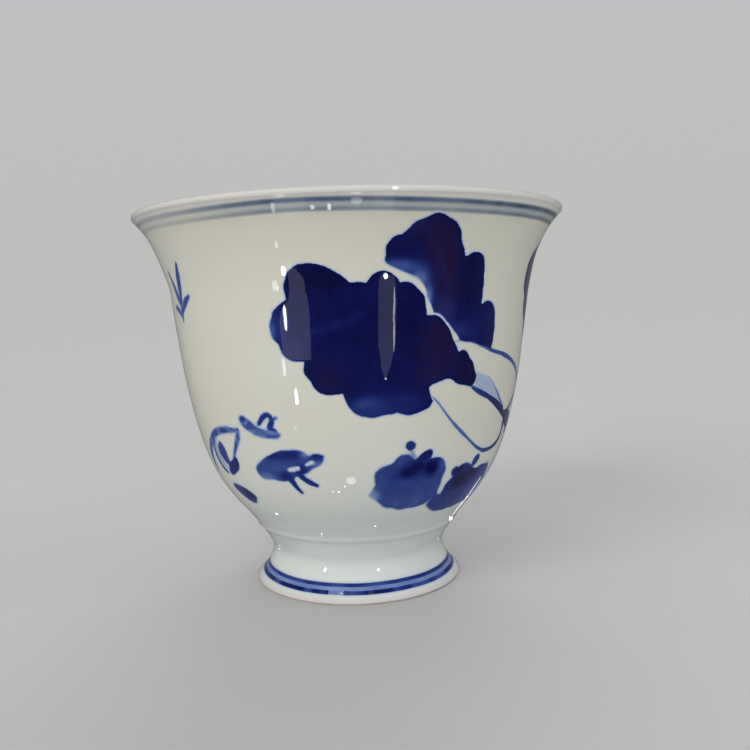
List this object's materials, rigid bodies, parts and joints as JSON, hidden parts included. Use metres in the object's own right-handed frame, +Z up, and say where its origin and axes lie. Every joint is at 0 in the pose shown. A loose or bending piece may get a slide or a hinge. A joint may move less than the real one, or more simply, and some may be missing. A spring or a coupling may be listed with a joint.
{
  "type": "teacup",
  "caption": "Small footed porcelain teacup with a flared bell-shaped bowl, a hollow flared foot, cobalt bands at rim and foot, and a brushed vegetable motif.",
  "frame": {"origin": "centre of the foot's rest plane, on the cup's own axis", "axes": "+Z up along the cup's axis, from the foot to the lip; -Y faces the side with the brushed motif"},
  "size_m": [0.0812, 0.0812, 0.0705],
  "materials": {
    "porcelain": "bare fired porcelain, matt",
    "slip": "fired joining slip, matt",
    "dark_cobalt": "strong underglaze cobalt, matt under the glaze",
    "pale_cobalt": "thin underglaze cobalt wash, matt under the glaze",
    "glaze": "clear glossy glaze over white porcelain, faintly grey-green"
  },
  "bodies": {
    "root": {"bowl": "porcelain", "foot": "porcelain", "luting_slip": "slip", "foot_line_lower": "dark_cobalt", "foot_wash_band": "pale_cobalt", "foot_line_upper": "dark_cobalt", "rim_line_lower": "pale_cobalt", "rim_wash_band": "pale_cobalt", "rim_line_upper": "dark_cobalt", "exterior_glaze": "glaze", "interior_glaze": "glaze", "foot_recess_glaze": "glaze"}
  },
  "joints": []
}
